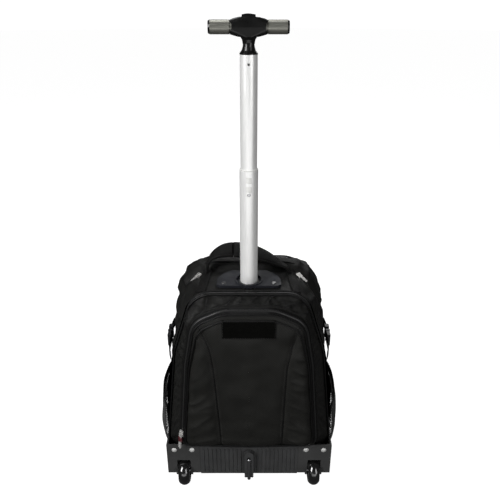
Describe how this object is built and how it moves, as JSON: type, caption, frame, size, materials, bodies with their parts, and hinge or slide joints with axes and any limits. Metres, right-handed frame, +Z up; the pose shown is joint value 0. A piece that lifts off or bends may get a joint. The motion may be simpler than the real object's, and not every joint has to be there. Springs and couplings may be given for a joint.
{
  "type": "rolling laptop backpack",
  "caption": "Soft wheeled laptop backpack with a telescoping pole, T-handle with push button, corner wheel housings, mesh side pockets and a top grab handle.",
  "frame": {"origin": "on the floor, under the middle of the object's bounding box, bag standing upright", "axes": "+Z up along the pole, -Y towards the front pocket and wheels, +Y towards the carrier's back, +X towards the bag's left-hand wheel as worn, right in a front view"},
  "size_m": [0.376, 0.2242, 0.8839],
  "materials": {
    "body_fabric": "woven polyester",
    "panel_fabric": "coarse woven polyester",
    "mesh": "elastic mesh",
    "lining": "padded nylon",
    "webbing": "woven webbing",
    "piping": "satin",
    "board": "matte",
    "moulded": "fine grain",
    "handle_plastic": "satin",
    "plate": "satin",
    "grip": "satin",
    "buckle": "satin",
    "tube": "satin anodised",
    "collar": "matte",
    "glide": "matte",
    "steel": "zinc plated",
    "slider_bright": "nickel plated",
    "slider_dark": "satin black",
    "hub": "matte",
    "tyre": "polished polyurethane"
  },
  "bodies": {
    "bag": {"main_compartment": "body_fabric", "front_compartment": "body_fabric", "front_pocket": "panel_fabric", "side_pocket_left": "mesh", "side_pocket_right": "mesh", "laptop_divider": "lining", "back_board": "board", "bottom_board": "board", "back_pads": "lining", "shoulder_strap_left": "lining", "shoulder_strap_right": "lining", "strap_webbing": "webbing", "strap_adjusters": "buckle", "loop_patch": "webbing", "piping": "piping", "compression_straps": "webbing", "buckle_sockets": "buckle", "wheel_housing_left": "moulded", "wheel_housing_right": "moulded", "housing_rivets": "steel", "axle_bolts": "steel", "kick_plate": "moulded", "centre_skid": "moulded", "skid_rod": "tube", "rear_feet": "moulded", "grommet_plate": "plate", "pole_screws": "steel", "outer_tube": "tube", "outer_bush": "glide", "tube_base": "moulded", "main_sliders": "slider_bright"},
    "middle_stage": {"middle_tube": "tube", "middle_bush": "collar", "middle_plug": "glide"},
    "inner_stage": {"inner_tube": "tube", "inner_plug": "glide", "handle_neck": "handle_plastic", "handle_head": "handle_plastic", "grip_tubes": "grip", "end_caps": "handle_plastic", "button_spring": "steel"},
    "button": {"push_button": "handle_plastic", "push_rod": "steel"},
    "upper_pin": {"upper_lock_pin": "steel"},
    "lower_pin": {"lower_lock_pin": "steel"},
    "wheel_left": {"tyre_left": "tyre", "wheel_hub_left": "hub", "wheel_bearings_left": "steel"},
    "wheel_right": {"tyre_right": "tyre", "wheel_hub_right": "hub", "wheel_bearings_right": "steel"},
    "pocket_slider": {"zip_slider": "slider_bright"},
    "pocket_pull": {"zip_pull": "slider_bright"},
    "gusset_slider": {"arc_slider": "slider_dark"},
    "gusset_pull": {"arc_pull": "slider_dark"},
    "top_pull_left": {"main_pull_left": "slider_bright"},
    "top_pull_right": {"main_pull_right": "slider_bright"},
    "clip_left": {"buckle_clip_left": "buckle"},
    "clip_right": {"buckle_clip_right": "buckle"},
    "carry_handle": {"grab_handle": "webbing"}
  },
  "joints": [
    {"name": "middle_stage_slide", "type": "slide", "parent": "bag", "child": "middle_stage", "axis": [0, 0, 1], "range_m": [-0.21, 0]},
    {"name": "inner_stage_slide", "type": "slide", "parent": "middle_stage", "child": "inner_stage", "axis": [0, 0, 1], "range_m": [-0.18, 0]},
    {"name": "button_press", "type": "slide", "parent": "inner_stage", "child": "button", "axis": [0, 0, 1], "range_m": [-0.0035, 0], "stiffness_N_per_m": 400, "springref_m": 0.004, "deforming": ["button_spring"]},
    {"name": "upper_pin_slide", "type": "slide", "parent": "inner_stage", "child": "upper_pin", "axis": [0, -1, 0], "range_m": [0, 0.0012]},
    {"name": "lower_pin_slide", "type": "slide", "parent": "middle_stage", "child": "lower_pin", "axis": [0, -1, 0], "range_m": [0, 0.0012]},
    {"name": "wheel_left_spin", "type": "hinge", "parent": "bag", "child": "wheel_left", "pos_m": [-0.131, -0.0815, 0.029], "axis": [1, 0, 0], "continuous": true},
    {"name": "wheel_right_spin", "type": "hinge", "parent": "bag", "child": "wheel_right", "pos_m": [0.131, -0.0815, 0.029], "axis": [1, 0, 0], "continuous": true},
    {"name": "pocket_zip_slide", "type": "slide", "parent": "bag", "child": "pocket_slider", "axis": [0.0854, 0, 0.9963], "range_m": [0, 0.155]},
    {"name": "pocket_pull_swing", "type": "hinge", "parent": "pocket_slider", "child": "pocket_pull", "pos_m": [-0.13222, -0.09933, 0.14334], "axis": [-0.7045, 0.7071, 0.0604], "range_deg": [0, 170]},
    {"name": "gusset_zip_slide", "type": "slide", "parent": "bag", "child": "gusset_slider", "axis": [-0.108, 0, 0.9942], "range_m": [0, 0.14]},
    {"name": "gusset_pull_swing", "type": "hinge", "parent": "gusset_slider", "child": "gusset_pull", "pos_m": [0.16106, -0.0578, 0.14153], "axis": [0, -1, 0], "range_deg": [0, 170]},
    {"name": "top_pull_left_swing", "type": "hinge", "parent": "bag", "child": "top_pull_left", "pos_m": [-0.09739, 0.02284, 0.42552], "axis": [-0.6634, 0.6428, -0.383], "range_deg": [0, 160]},
    {"name": "top_pull_right_swing", "type": "hinge", "parent": "bag", "child": "top_pull_right", "pos_m": [0.09739, 0.02284, 0.42552], "axis": [-0.6634, -0.6428, 0.383], "range_deg": [0, 160]},
    {"name": "clip_left_release", "type": "slide", "parent": "bag", "child": "clip_left", "axis": [0, -1, 0], "range_m": [0, 0.02]},
    {"name": "clip_right_release", "type": "slide", "parent": "bag", "child": "clip_right", "axis": [0, -1, 0], "range_m": [0, 0.02]},
    {"name": "carry_handle_swing", "type": "hinge", "parent": "bag", "child": "carry_handle", "pos_m": [0, 0.028, 0.4285], "axis": [1, 0, 0], "range_deg": [-3, 8]}
  ]
}
